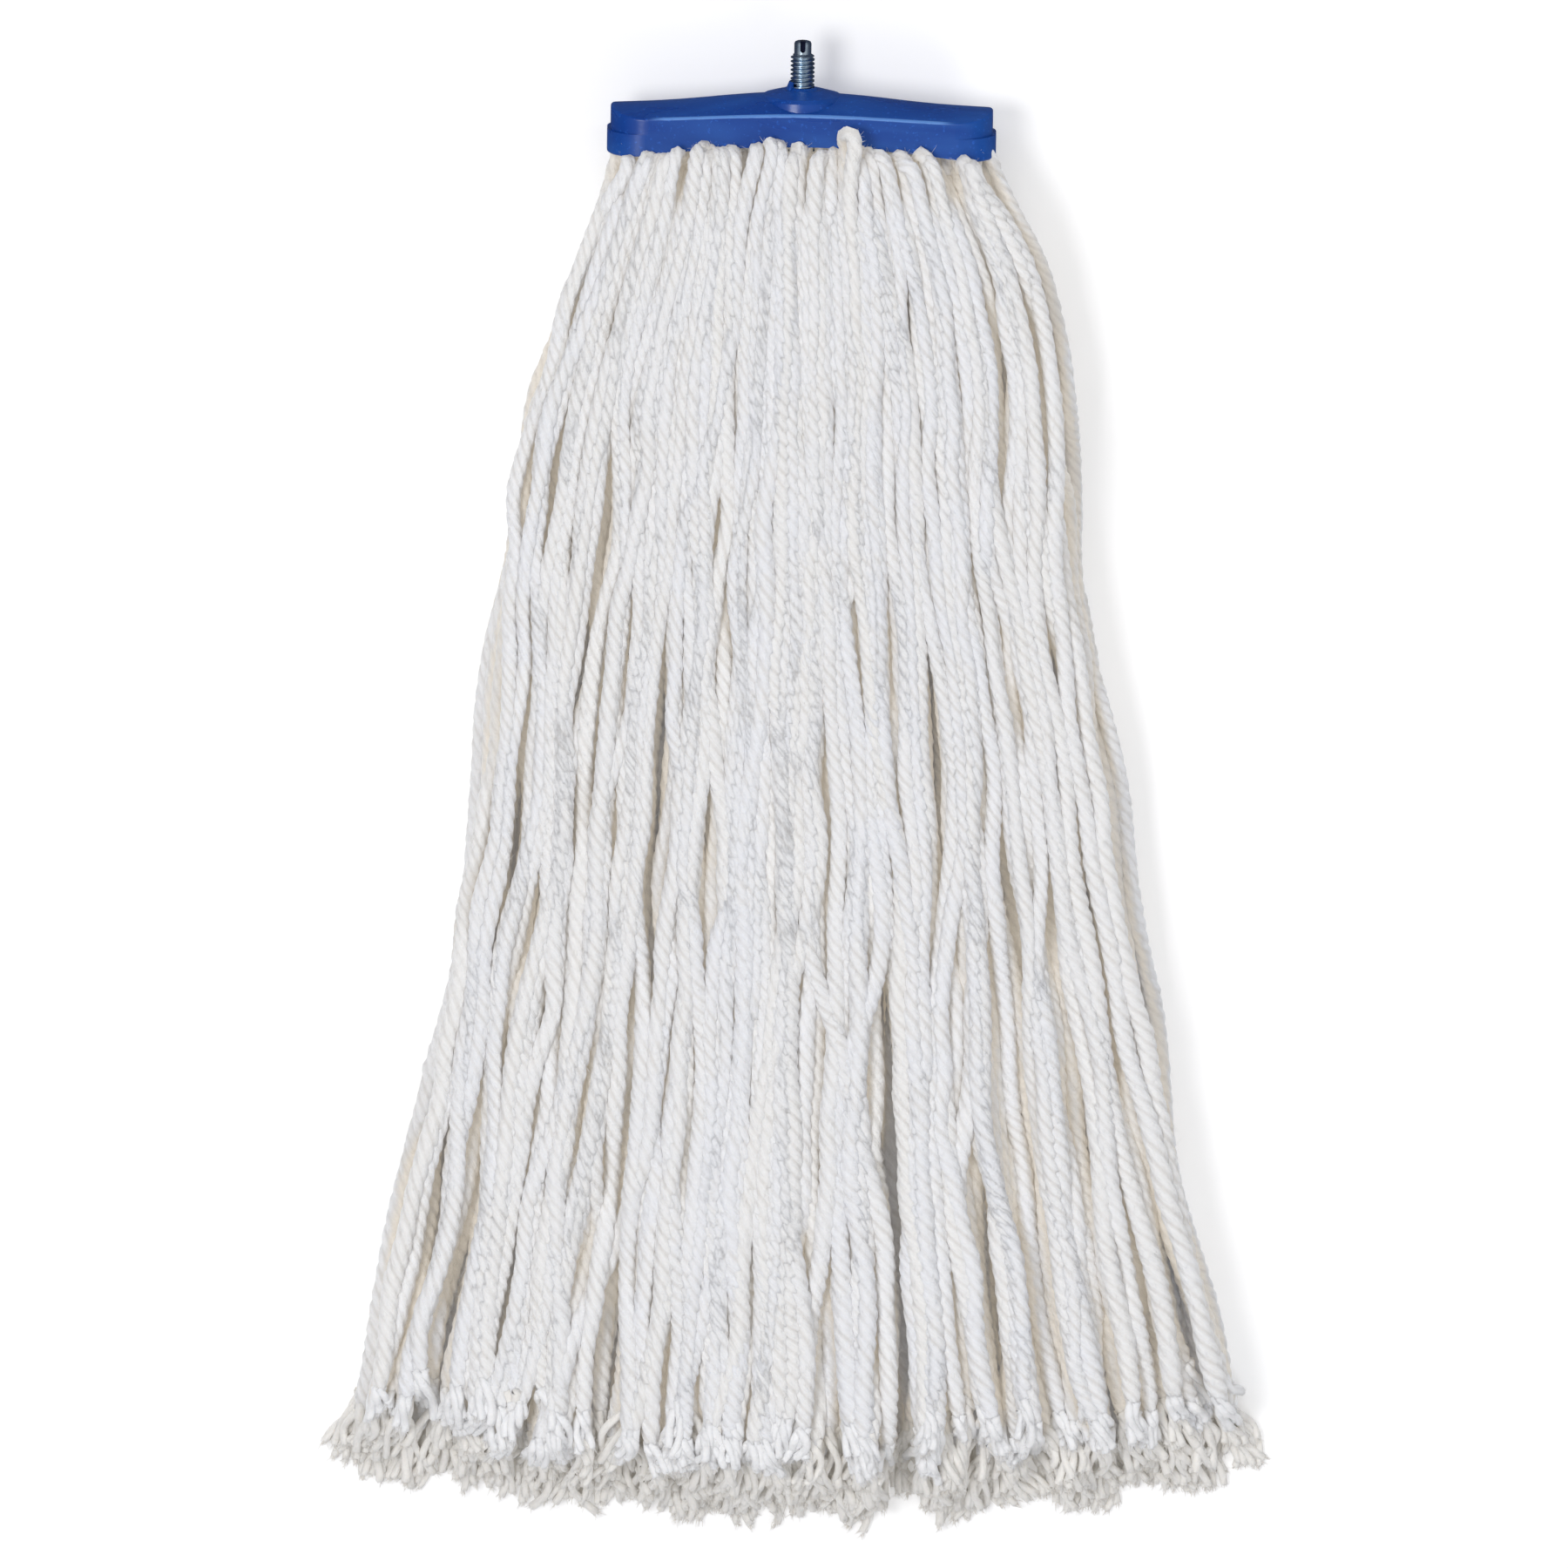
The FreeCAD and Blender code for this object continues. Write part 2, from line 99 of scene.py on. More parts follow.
# ---------------------------------------------------------------- the yarns' plan
RADIUS = 2.75
LAY = 22.0  # length of one turn of the four plies
PLY_RADIUS = 1.47
MOUTH_ROOF = 12.5  # half the depth of the channel's mouth inside its walls
RIM_LEVEL, RIM_RISE = -21.1, 4.4  # the rim's level at its ends, and how much it arches up

# outline of the fan: level in Y, then how far it reaches to the left and to the right
OUTLINE = np.array((
    (-12, 59, 59), (-29, 64, 65.9), (-52, 72.5, 78.9), (-64, 77, 82.8), (-87, 83.5, 88.0),
    (-110, 90.5, 90.5), (-156, 98, 94), (-203, 104.5, 104), (-249, 107.5, 112),
    (-295, 113.5, 120.5), (-341, 124, 128), (-388, 131.5, 138.5), (-446, 145, 149.5),
    (-490, 150.5, 153.5),
))  # fmt: skip

# lock, locks across, crowding to the middle, end level, share of its thickness in the mouth
LAYERS = (
    ("bottom_lock", 10, 0.90, -480.0, 0.70),
    ("lower_lock", 9, 0.70, -477.0, 0.62),
    ("upper_lock", 8, 0.66, -470.0, 0.62),
    ("top_lock", 11, 0.93, -459.0, 0.86),
)
ROWS = 2
PER_ROW = 4  # yarns of one lock in one row
SIDE_SHORTER = 16.0  # how much sooner the outermost yarns end
SPLAY = (19.0, 18.0, 16.0, 9.5)  # the plies come apart over this length, layer by layer
TOP = 3  # the layer that shows

MOUTH_LEVELS = np.array((-12.0, -16.0, -20.0, -24.5, -30.0))  # points inside and at the rim
PILE_START = -38.0
PILE_POINTS = 25


def reach(u, level):
    """X of a place across the fan, u from -1 to 1, at a level of Y."""
    left = np.interp(-level, -OUTLINE[:, 0], OUTLINE[:, 1]) - RADIUS
    right = np.interp(-level, -OUTLINE[:, 0], OUTLINE[:, 2]) - RADIUS
    return u * np.where(u < 0, left, right)


def waves(count, shortest, longest, seed):
    """Random sine waves across and along the fan, as (across, along, phase, share)."""
    own = np.random.default_rng(seed)
    across = own.uniform(-1, 1, count) * 2 * math.pi / 34
    along = 2 * math.pi / own.uniform(shortest, longest, count)
    return across, along, own.uniform(0, 2 * math.pi, count), own.uniform(0.5, 1, count)


def field(x, y, shape):
    """Height of a set of waves at points, about -1 to 1."""
    across, along, phase, share = shape
    total = sum(
        s * np.sin(a * x + b * y + p) for a, b, p, s in zip(across, along, phase, share)
    )
    return total / math.sqrt(len(across))


# what neighbouring yarns of one row do together, and how far either kind of wave moves a yarn
CLUMPS = [waves(9, 90, 340, 7 + k) for k in range(len(LAYERS) * ROWS)]
CLUMP_REACH, OWN_REACH = 1.35, 2.0


def side_step(levels, starts, reaches, lengths):
    """A yarn moves to one side, across its neighbours, and stays there."""
    start = rng.uniform(*starts)
    way = rng.choice((-1, 1)) * rng.uniform(*reaches)
    return way * smooth((-levels - start) / rng.uniform(*lengths))


def plan_yarn(lock, layer, row, place, count):
    """Control points of one yarn in X and Y, with what the later steps need to know."""
    crowding, end, squeeze = LAYERS[layer][2:]
    v = 2 * (place + 0.5 + 0.25 * (-1) ** row) / count - 1 + rng.normal(0, 0.22) / count
    v = np.clip(v, -1, 1)
    u = v * (crowding + (1 - crowding) * abs(v))
    splay = SPLAY[layer] * rng.uniform(0.75, 1.45)
    end_level = end + SIDE_SHORTER * u * u + rng.normal(0, 3.6) + splay
    steps = np.linspace(0, 1, PILE_POINTS)
    levels = np.concatenate((MOUTH_LEVELS, PILE_START + (end_level - PILE_START) * steps))
    free = smooth((-levels - 20) / 90)
    drift = rng.normal(0, 0.018) * smooth((-levels - 60) / 380)
    for _ in range(rng.integers(1, 4) if layer == TOP else 0):
        drift = drift + side_step(levels, (50, 390), (0.02, 0.075), (45, 120))
    if layer == TOP and row == 1 and rng.random() < 0.13:
        drift = drift + side_step(levels, (200, 350), (0.08, 0.20), (90, 140))
    across = np.clip(u + drift, -1.0, 1.0)
    x = reach(across, levels)
    own = waves(5, 28, 160, rng.integers(1 << 30))
    clump = CLUMPS[layer * ROWS + row]
    sway = CLUMP_REACH * field(x, levels, clump) + OWN_REACH * field(x, levels, own)
    x = x + free * sway
    x = x + rng.normal(0, 2.0 + 1.4 * (layer < TOP)) * smooth((end_level + 30 - levels) / 30)
    if layer == TOP:
        x = x + rng.normal(0, 3.0) * (1 - smooth((-levels - 25) / rng.uniform(60, 170)))
    x = np.clip(x, reach(-1.0, levels) - 2.0, reach(1.0, levels) + 2.0)
    mouth = 0.96 if row == 1 and layer == TOP else squeeze
    opened = (1 - mouth) * smooth((-levels - 25) / 100)
    thickness = mouth + opened + 0.21 * smooth((-levels - 170) / 230)
    return {
        "lock": lock,
        "layer": layer,
        "row": row,
        "u": u,
        "points": np.stack((x, levels, np.zeros_like(x)), axis=1),
        "radius": RADIUS * thickness * rng.normal(1, 0.05),
        "splay": splay,
        "under": row == 1 and layer == TOP and (place % 2 == 0) ^ (rng.random() < 0.12),
        "rank": (layer * ROWS + row + 0.5) / (len(LAYERS) * ROWS),
    }


def plan_yarns():
    """Every yarn, row by row from the floor up, in the order that they are laid."""
    yarns = []
    for layer, (name, locks, *_) in enumerate(LAYERS):
        for row in range(ROWS):
            count = locks * PER_ROW
            order = rng.permutation(count)
            for place in order:
                lock = f"{name}_{place // PER_ROW + 1}"
                yarns.append(plan_yarn(lock, layer, row, place, count))
    return yarns


# ---------------------------------------------------------------- laying the yarns on each other
class Pile:
    """Height of what lies on the floor so far, on a 1 mm grid."""

    def __init__(self):
        self.x0, self.y0 = -175, -500
        y = np.arange(self.y0, 5)
        mouth_floor = FLOOR + (-MOUTH_ROOF - FLOOR) * smooth((y + 62) / 38)
        self.height = np.tile(mouth_floor, (351, 1))

    def disc(self, radius):
        """Cells of a ball seen from above, and its height over each."""
        span = math.floor(radius)
        dx, dy = np.meshgrid(*[np.arange(-span, span + 1)] * 2, indexing="ij")
        inside = dx**2 + dy**2 < radius**2
        dx, dy = dx[inside], dy[inside]
        return dx, dy, np.sqrt(radius**2 - dx**2 - dy**2)

    def cells(self, points, radius):
        """Grid cells under a ball at each point, and the ball's height over each."""
        dx, dy, rise = self.disc(radius)
        ix = np.rint(points[:, 0:1] - self.x0).astype(int) + dx
        iy = np.rint(points[:, 1:2] - self.y0).astype(int) + dy
        ix = np.clip(ix, 0, self.height.shape[0] - 1)
        iy = np.clip(iy, 0, self.height.shape[1] - 1)
        return ix, iy, rise

    def support(self, points, radius):
        """Lowest centre height at each point for a ball of this radius."""
        ix, iy, rise = self.cells(points, radius)
        return (self.height[ix, iy] + rise).max(axis=1)

    def stamp(self, points, radius):
        """Raises the pile to cover a ball at each point."""
        ix, iy, rise = self.cells(points, radius)
        np.maximum.at(self.height, (ix, iy), points[:, 2:3] + rise)


def refine(points, step=1.2):
    """Points about a step apart along the straight runs between the given ones."""
    gaps = np.linalg.norm(np.diff(points[:, :2], axis=0), axis=1)
    along = np.concatenate(([0.0], np.cumsum(gaps)))
    wanted = np.arange(0, along[-1], step)
    fine = np.stack([np.interp(wanted, along, c) for c in points.T], axis=1)
    return along, wanted, fine


def soften(values, width):
    """Running mean over a width in samples, with the ends held."""
    kernel = np.hanning(2 * width + 3)[1:-1]
    padded = np.pad(values, width, mode="edge")
    return np.convolve(padded, kernel / kernel.sum(), mode="valid")


def lay_down(pile, points, radius, stiff=6):
    """Sets the heights of a limp line so that it rests on the pile."""
    along, wanted, fine = refine(points)
    low = pile.support(fine, 0.8 * radius)
    held = soften(np.maximum(soften(low, 3), low - 0.4), stiff)
    points[:, 2] = np.interp(along, wanted, held)


def rim_at(x):
    """Level of the channel's rim, which arches up towards the middle."""
    return RIM_LEVEL + RIM_RISE * smooth((61.0 - np.abs(x)) / 40)


def through_mouth(yarn):
    """Sets the part of a yarn inside the channel and where it comes out."""
    points, rank = yarn["points"], yarn["rank"]
    count = len(MOUTH_LEVELS)
    inside = -10.5 + 20.5 * rank
    points[:count, 2] = inside
    out = points[count, 2]
    points[count - 2, 2] = inside + 0.12 * (out - inside)
    points[count - 1, 2] = inside + 0.55 * (out - inside)
    if yarn["layer"] == TOP and yarn["row"] == 1:
        rim = rim_at(points[1, 0])
        crest = rng.normal(-0.4, 1.3)
        high = 17.3 + rng.uniform(0, 2.6)
        points[:count, 1] = (-12.0, rim - 1.5, rim - 3.9, rim + crest, rim - 4.5)
        points[:count, 2] = (9.0, 9.4, 12.6, high, high + 2.0)
        if yarn["under"]:
            points[:count, 2] -= (0.0, 0.0, 0.6, 2.0, 2.4)
        # neighbours slant together where they come out, and one bundle leans over the rim
        slant = 3.0 * math.sin(0.13 * points[0, 0] + 0.9) + rng.normal(0, 1.2)
        points[:count, 0] += slant * np.array((1.0, 1.0, 0.9, 0.6, 0.2))
        points[:count, 0] = np.clip(points[:count, 0], -56.5, 56.5)
        lean = smooth(1 - abs(points[0, 0] + 14.5) / 9.0)
        if lean > 0:
            points[:count, 0] += 6.0 * lean
            points[count - 2, 1] += 4.5 * lean
            points[count - 1, 1] += 2.5 * lean


def ply_ends(pile, yarn):
    """The four plies past the end of a yarn's body, as lines that rest on the pile."""
    end, before = yarn["points"][-1], yarn["points"][-2]
    ahead = unit(end - before)
    side = np.array((-ahead[1], ahead[0], 0.0))
    turn = rng.uniform(0, 2 * math.pi)
    share = np.linspace(0, 1, 8)[:, None]
    lower = yarn["layer"] < TOP
    fan = rng.uniform(0.1, 0.7) + 0.7 * lower
    lean = rng.normal(0, 1.5 + 2.0 * lower) * (1 - 0.8 * abs(yarn["u"]) ** 3)
    twist = 2 * math.pi * yarn["splay"] / LAY
    plies = []
    for ply in range(4):
        angle = turn + ply * math.pi / 2 - twist * share * (1 - 0.35 * share)
        spread = 1.25 + 0.35 * smooth(share * 4) + fan * rng.uniform(0.8, 2.4) * share**1.6
        length = yarn["splay"] + rng.normal(0, 1.5)
        bow = rng.normal(0, 0.7 + 0.8 * lower) * share * (1 - share) * 4
        line = end + ahead * length * share
        line = line + side * (spread * np.cos(angle) + lean * share**2 + bow)
        line[:, 2] = (end[2] + 1.5 * np.sin(angle))[:, 0]
        rest = line.copy()
        lay_down(pile, rest, 1.1, stiff=2)
        down = rest[:, 2] + 0.8 * np.sin(angle[:, 0]) + 0.5
        line[:, 2] += (down - line[:, 2]) * smooth(share[:, 0] * 1.3)
        line[:, 2] = np.maximum(line[:, 2], FLOOR + PLY_RADIUS - 0.07)
        plies.append(line)
    for line in plies:
        pile.stamp(refine(line)[2], 1.1)
    return plies


def stand_loop(yarns):
    """One yarn of the top row stands out of the mouth and doubles back over the rim."""
    top = [y for y in yarns if y["layer"] == TOP and y["row"] == 1 and not y["under"]]
    yarn = min(top, key=lambda y: abs(y["points"][0, 0] - 14.0))
    points, count = yarn["points"], len(MOUTH_LEVELS)
    x = points[count - 1, 0]
    points[:count, 0] = (x + 1.5, x + 1.5, x - 3.0, x + 2.6, x + 0.5)
    points[:count, 1] = (-15.0, -21.0, -11.0, -11.0, -25.0)
    points[:count, 2] = (9.0, 13.0, 17.5, 24.5, 23.0)


# level in Y, then the height over which the pile is pressed down
TOP_LIMIT = ((0, 20.0), (-30, 20.5), (-60, 23.0), (-120, 22.0), (-210, 18.0), (-500, 12.0))
PRESSED = 0.66  # share of what is over the limit that pressing takes away
UNDER_DROP = 2.4  # every other yarn of the top row lies this much deeper near the mouth


def lay_yarns():
    """Plans every yarn and lays them on each other, with their ends."""
    pile = Pile()
    yarns = plan_yarns()
    levels, tops = np.array(TOP_LIMIT).T
    for yarn in yarns:
        points = yarn["points"]
        lay_down(pile, points, float(np.median(yarn["radius"])))
        limit = np.interp(-points[:, 1], -levels, tops) * (1 - 0.3 * yarn["u"] ** 2)
        if yarn["under"]:
            limit = limit - UNDER_DROP * (1 - smooth((-points[:, 1] - 50) / 220))
        over = np.maximum(points[:, 2] - limit, 0)
        points[:, 2] -= PRESSED * over
        points[:, 2] = np.maximum(points[:, 2], FLOOR + yarn["radius"])
        through_mouth(yarn)
        pile.stamp(refine(points)[2], float(np.median(yarn["radius"])) * 0.97)
        yarn["plies"] = ply_ends(pile, yarn)
    stand_loop(yarns)
    return yarns


# ---------------------------------------------------------------- routes and tubes
RINGS = 215
LOBES = np.array((0.83, 0.99, 0.99) * 4)  # radius round a ring: a valley between two plies
RING = len(LOBES)


def route_points(yarns):
    """Reads every yarn's line from its own NURBS spline."""
    data = bpy.data.curves.new("routes", "CURVE")
    data.dimensions = "3D"
    data.resolution_u = 12
    for yarn in yarns:
        spline = data.splines.new("NURBS")
        spline.points.add(len(yarn["points"]) - 1)
        flat = np.concatenate((yarn["points"] * MM, np.ones((len(yarn["points"]), 1))), axis=1)
        spline.points.foreach_set("co", flat.ravel())
        spline.order_u = 3
        spline.use_endpoint_u = True
    routes = bpy.data.objects.new("routes", data)
    line = bpy.data.meshes.new_from_object(routes)
    found = np.empty(len(line.vertices) * 3)
    line.vertices.foreach_get("co", found)
    bpy.data.objects.remove(routes)
    bpy.data.curves.remove(data)
    bpy.data.meshes.remove(line)
    return found.reshape(len(yarns), -1, 3) / MM


def evenly(lines, count):
    """The same lines with their points evenly spaced, and the distance along each."""
    gaps = np.linalg.norm(np.diff(lines, axis=1), axis=2)
    result, lengths = [], []
    for line, gap in zip(lines, gaps):
        along = np.concatenate(([0.0], np.cumsum(gap)))
        wanted = np.linspace(0, along[-1], count)
        result.append(np.stack([np.interp(wanted, along, c) for c in line.T], axis=1))
        lengths.append(wanted)
    return np.array(result), np.array(lengths)


def turning_frames(lines):
    """Tangent and two normals along each line, turning no more than the line itself does."""
    tangent = unit(np.gradient(lines, axis=1))
    normal = np.empty_like(lines)
    first = np.array((1.0, 0.0, 0.0)) - tangent[:, 0, 0:1] * tangent[:, 0]
    normal[:, 0] = unit(first)
    for i in range(lines.shape[1] - 1):
        step = unit(lines[:, i + 1] - lines[:, i])
        flipped = normal[:, i] - 2 * (step * normal[:, i]).sum(1, keepdims=True) * step
        ahead = tangent[:, i] - 2 * (step * tangent[:, i]).sum(1, keepdims=True) * step
        other = unit(tangent[:, i + 1] - ahead)
        flipped = flipped - 2 * (other * flipped).sum(1, keepdims=True) * other
        normal[:, i + 1] = unit(flipped)
    return normal, np.cross(normal, tangent)


def tube_faces(rings, ring, start):
    """Quads of one tube whose vertices begin at start, ring after ring."""
    i = np.arange(rings - 1)[:, None] * ring
    j = np.arange(ring)
    k = (j + 1) % ring
    quads = np.stack((i + j, i + k, i + ring + k, i + ring + j), axis=-1)
    return quads.reshape(-1, 4) + start


def yarn_rings(lines, lengths, radii, phase, lay):
    """Vertices of lobed, twisted tubes, and where each lies round and along its yarn."""
    normal, other = turning_frames(lines)
    lobe = np.arange(RING) * 2 * math.pi / RING
    angle = phase[..., None] - 2 * math.pi * lengths[:, :, None] / lay[:, None, None] + lobe
    rough = np.random.default_rng(4).normal(1, 0.035, (*radii.shape, RING))
    size = radii[:, :, None] * LOBES * rough
    vertices = (
        lines[:, :, None]
        + (size * np.cos(angle))[..., None] * normal[:, :, None]
        - (size * np.sin(angle))[..., None] * other[:, :, None]
    )
    around = np.broadcast_to(np.arange(RING) / RING, size.shape)
    along = np.broadcast_to(lengths[:, :, None], size.shape)
    return vertices, around, along


class Meshes:
    """Collects the pieces of one object, and makes it."""

    def __init__(self):
        self.vertices, self.faces, self.around, self.along, self.tint = [], [], [], [], []
        self.count = 0

    def add(self, vertices, faces, around, along, tint):
        """Adds a piece; around, along and tint are one value or one for each vertex."""
        total = len(vertices)
        self.vertices.append(vertices)
        self.faces.append(np.where(faces >= 0, faces + self.count, faces))
        self.around.append(np.broadcast_to(around, total))
        self.along.append(np.broadcast_to(along, total))
        self.tint.append(np.broadcast_to(tint, total))
        self.count += total

    def make(self, name, depth_at):
        vertices = np.concatenate(self.vertices)
        faces = np.concatenate(self.faces)
        mesh = bpy.data.meshes.new(name)
        mesh.vertices.add(len(vertices))
        mesh.vertices.foreach_set("co", (vertices * MM).ravel())
        mesh.loops.add(faces.size)
        mesh.loops.foreach_set("vertex_index", faces.ravel().astype(np.int32))
        mesh.polygons.add(len(faces))
        mesh.polygons.foreach_set("loop_start", np.arange(0, faces.size, 4, dtype=np.int32))
        mesh.polygons.foreach_set("use_smooth", np.ones(len(faces), dtype=bool))
        mesh.update(calc_edges=True)
        uv = mesh.uv_layers.new(name="yarn")
        around = np.concatenate(self.around)[faces]
        # the last quad round a ring closes from its end to 1, not back to 0
        wraps = np.ptp(around, axis=1) > 0.5
        around = np.where(wraps[:, None] & (around < 0.5), around + 1, around)
        along = np.concatenate(self.along)[faces] * MM
        uv.data.foreach_set("uv", np.stack((around, along), axis=-1).ravel().astype(np.float32))
        for key, values in (
            ("depth", depth_at(vertices)),
            ("tint", np.concatenate(self.tint)),
        ):
            layer = mesh.attributes.new(key, "FLOAT", "POINT")
            layer.data.foreach_set("value", values.astype(np.float32))
        made = bpy.data.objects.new(name, mesh)
        bpy.context.scene.collection.objects.link(made)
        return made


def close_end(rings, ring, start, last):
    """Quads over one open end of a tube, as a strip across its ring."""
    base = start + (rings - 1) * ring if last else start
    half = ring // 2
    strip = [
        (base + k, base + k + 1, base + (ring - k - 2) % ring, base + (ring - k - 1) % ring)
        for k in range(half - 1)
    ]
    quads = np.array(strip)
    return quads if last else quads[:, ::-1]


def round_tubes(lines, radii, ring):
    """Vertices of plain round tubes along lines."""
    normal, other = turning_frames(lines)
    angle = np.arange(ring) * 2 * math.pi / ring
    size = radii[:, :, None]
    return (
        lines[:, :, None]
        + (size * np.cos(angle))[..., None] * normal[:, :, None]
        - (size * np.sin(angle))[..., None] * other[:, :, None]
    )


def hairs(roots, ways, lengths, width, own):
    """Loose fibres: narrow ribbons that bend and face up, as vertices and quads."""
    count, steps = len(roots), 5
    share = np.linspace(0, 1, steps)[None, :, None]
    bend = unit(own.normal(size=(count, 3))) * lengths[:, None] * own.uniform(0.15, 0.5, (count, 1))
    line = roots[:, None] + ways[:, None] * lengths[:, None, None] * share
    line = line + bend[:, None] * share**2
    flat = unit(np.cross(ways, (0.0, 0.0, 1.0)) + own.normal(0, 0.2, (count, 3)))[:, None]
    edge = flat * width * (1 - 0.7 * share)
    vertices = np.stack((line - edge, line + edge), axis=2).reshape(-1, 3)
    first = np.arange(count)[:, None] * steps * 2 + np.arange(steps - 1) * 2
    first = first.reshape(-1, 1)
    return vertices, first + np.array((0, 1, 3, 2))


# ---------------------------------------------------------------- materials
# added to a yarn's tint of 0 to 1, these tell the shader about its cut ends, which it paints
# lighter on the top layer and in a shaded tan on the layers below
TOP_END, LOW_END = 2, 4


def new_material(name):
    material = bpy.data.materials.new(name)
    material.use_nodes = True
    tree = material.node_tree
    shader = tree.nodes["Principled BSDF"]
    return material, tree, shader


def node(tree, kind, **inputs):
    """Adds a node, with its sockets set or linked by name."""
    made = tree.nodes.new(kind)
    for key, value in inputs.items():
        socket = made.inputs[key.replace("_", " ")]
        if isinstance(value, bpy.types.NodeSocket):
            tree.links.new(value, socket)
        else:
            socket.default_value = value
    return made


def mix_colour(tree, factor, a, b, blend="MIX"):
    made = tree.nodes.new("ShaderNodeMix")
    made.data_type = "RGBA"
    made.blend_type = blend
    for index, value in ((0, factor), (6, a), (7, b)):
        if isinstance(value, bpy.types.NodeSocket):
            tree.links.new(value, made.inputs[index])
        else:
            made.inputs[index].default_value = value
    return made.outputs[2]


def ramp(tree, factor, low, high, out_low=0.0, out_high=1.0):
    made = node(tree, "ShaderNodeMapRange", Value=factor)
    made.interpolation_type = "SMOOTHSTEP"
    for index, value in ((1, low), (2, high), (3, out_low), (4, out_high)):
        made.inputs[index].default_value = value
    return made.outputs[0]


def scaled(tree, source, scale):
    made = node(tree, "ShaderNodeMapping", Vector=source)
    made.inputs["Scale"].default_value = scale
    return made.outputs[0]


def attribute(tree, name):
    made = tree.nodes.new("ShaderNodeAttribute")
    made.attribute_name = name
    return made.outputs["Fac"]


def all_of(tree, factors):
    """The product of several factors."""
    total = factors[0]
    for factor in factors[1:]:
        product = tree.nodes.new("ShaderNodeMath")
        product.operation = "MULTIPLY"
        tree.links.new(total, product.inputs[0])
        tree.links.new(factor, product.inputs[1])
        total = product.outputs[0]
    return total


def ply_valley_shade(tree, uv):
    """Painted shade: darker along the four valleys between the plies."""
    around = node(tree, "ShaderNodeSeparateXYZ", Vector=uv).outputs[0]
    plies = node(tree, "ShaderNodeMath")
    plies.operation = "MULTIPLY"
    plies.inputs[1].default_value = 4.0
    tree.links.new(around, plies.inputs[0])
    within = node(tree, "ShaderNodeMath")
    within.operation = "PINGPONG"
    within.inputs[1].default_value = 0.5
    tree.links.new(plies.outputs[0], within.inputs[0])
    return ramp(tree, within.outputs[0], 0.0, 0.30, 0.36, 0.0)


